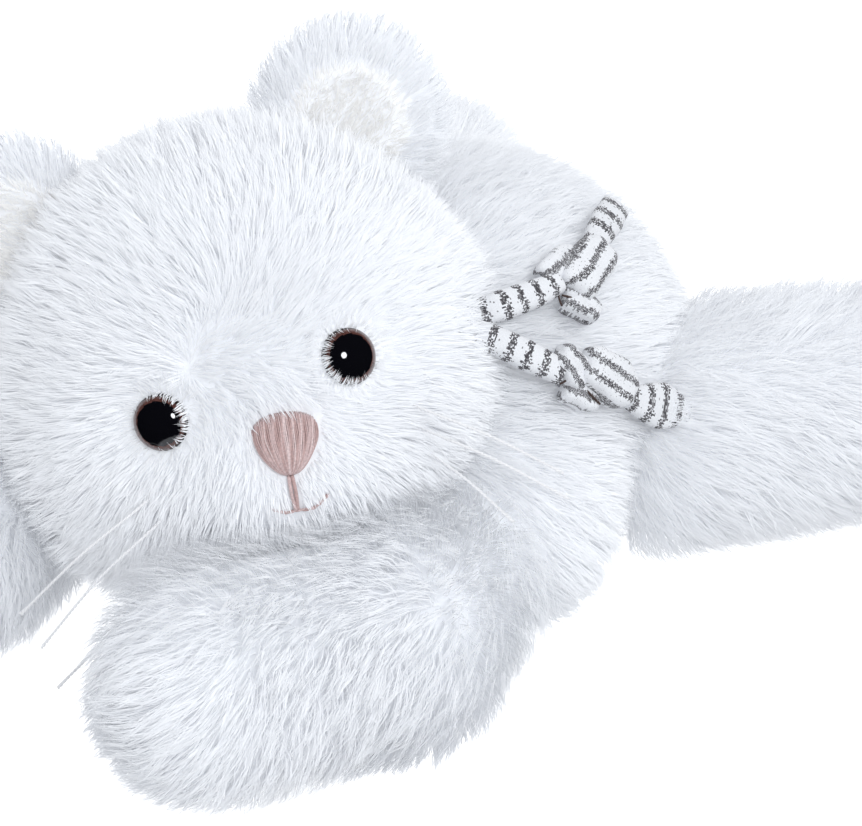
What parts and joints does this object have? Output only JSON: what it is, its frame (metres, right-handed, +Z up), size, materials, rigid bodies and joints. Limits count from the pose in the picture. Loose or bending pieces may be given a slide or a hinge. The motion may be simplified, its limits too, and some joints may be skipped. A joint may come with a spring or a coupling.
{
  "type": "plush cat",
  "caption": "Fluffy white plush cat lying on its belly, with bead eyes, a stitched nose, thread whiskers and a knotted striped neck ribbon.",
  "frame": {"origin": "bottom centre of the whole toy, on the floor it lies on", "axes": "+Z up; the body lies along Y with the cat's front towards -Y; +X is the cat's own left"},
  "size_m": [0.2692, 0.3142, 0.1656],
  "materials": {
    "white_fur": "long soft pile, slightly glossy strands",
    "cream_lining": "short velvety pile",
    "fibre_filling": "loose polyester fibre",
    "pellet_cotton": "woven cotton bag of plastic pellets",
    "white_thread": "twisted sewing thread",
    "pupil_black": "polished dome",
    "iris_brown": "dark brown, polished",
    "washer_plastic": "moulded",
    "rose_thread": "satin-stitched dusty rose thread",
    "whisker_thread": "stiff twisted white thread",
    "striped_knit": "white and charcoal striped jersey knit"
  },
  "bodies": {
    "torso": {"torso_cover": "white_fur", "torso_stuffing": "fibre_filling", "pellet_bag": "pellet_cotton", "ribbon_neck_band": "striped_knit", "ribbon_bow_knot": "striped_knit", "ribbon_upper_tail": "striped_knit", "ribbon_lower_tail": "striped_knit", "belly_seam_thread": "white_thread", "foreleg_left_seam_thread": "white_thread", "foreleg_right_seam_thread": "white_thread", "hind_leg_left_seam_thread": "white_thread", "hind_leg_right_seam_thread": "white_thread", "tail_seam_thread": "white_thread"},
    "neck": {"neck_gather_thread": "white_thread"},
    "head": {"eye_left_base": "iris_brown", "eye_left_lens": "pupil_black", "eye_left_washer": "washer_plastic", "eye_right_base": "iris_brown", "eye_right_lens": "pupil_black", "eye_right_washer": "washer_plastic", "head_cover": "white_fur", "head_stuffing": "fibre_filling", "mouth_stitching": "rose_thread", "nose_stitching": "rose_thread", "whisker_left_lower": "whisker_thread", "whisker_left_middle": "whisker_thread", "whisker_left_upper": "whisker_thread", "whisker_right_lower": "whisker_thread", "whisker_right_middle": "whisker_thread", "whisker_right_upper": "whisker_thread"},
    "ear_left": {"ear_left_back": "white_fur", "ear_left_lining": "cream_lining"},
    "ear_right": {"ear_right_back": "white_fur", "ear_right_lining": "cream_lining"},
    "foreleg_left": {"foreleg_left_cover": "white_fur", "foreleg_left_stuffing": "fibre_filling"},
    "foreleg_right": {"foreleg_right_cover": "white_fur", "foreleg_right_stuffing": "fibre_filling"},
    "hind_leg_left": {"hind_leg_left_cover": "white_fur", "hind_leg_left_stuffing": "fibre_filling"},
    "hind_leg_right": {"hind_leg_right_cover": "white_fur", "hind_leg_right_stuffing": "fibre_filling"},
    "tail": {"tail_cover": "white_fur", "tail_stuffing": "fibre_filling"}
  },
  "joints": [
    {"name": "neck_turn", "type": "hinge", "parent": "torso", "child": "neck", "pos_m": [-0.008, -0.05, 0.084], "axis": [0, 0, 1], "range_deg": [-22, 6]},
    {"name": "head_tilt", "type": "hinge", "parent": "neck", "child": "head", "pos_m": [-0.008, -0.05, 0.084], "axis": [0.7036, -0.5904, 0.3955], "range_deg": [-7, 6]},
    {"name": "ear_left_fold", "type": "hinge", "parent": "head", "child": "ear_left", "pos_m": [-0.01097, -0.00655, 0.13391], "axis": [0.7105, 0.5945, -0.3765], "range_deg": [-20, 20]},
    {"name": "ear_right_fold", "type": "hinge", "parent": "head", "child": "ear_right", "pos_m": [-0.06028, -0.08157, 0.10966], "axis": [0.0935, 0.6287, 0.772], "range_deg": [-20, 20]},
    {"name": "foreleg_left_swing", "type": "hinge", "parent": "torso", "child": "foreleg_left", "pos_m": [0.08, -0.03, 0.028], "axis": [0, 0, 1], "range_deg": [-8, 25]},
    {"name": "foreleg_right_swing", "type": "hinge", "parent": "torso", "child": "foreleg_right", "pos_m": [-0.08, -0.03, 0.028], "axis": [0, 0, -1], "range_deg": [-4, 25]},
    {"name": "hind_leg_left_swing", "type": "hinge", "parent": "torso", "child": "hind_leg_left", "pos_m": [0.066, 0.062, 0.029], "axis": [0, 0, -1], "range_deg": [-15, 25]},
    {"name": "hind_leg_right_swing", "type": "hinge", "parent": "torso", "child": "hind_leg_right", "pos_m": [-0.066, 0.062, 0.029], "axis": [0, 0, 1], "range_deg": [-15, 25]},
    {"name": "tail_swing", "type": "hinge", "parent": "torso", "child": "tail", "pos_m": [0, 0.096, 0.022], "axis": [0, 0, 1], "range_deg": [-20, 12]}
  ]
}
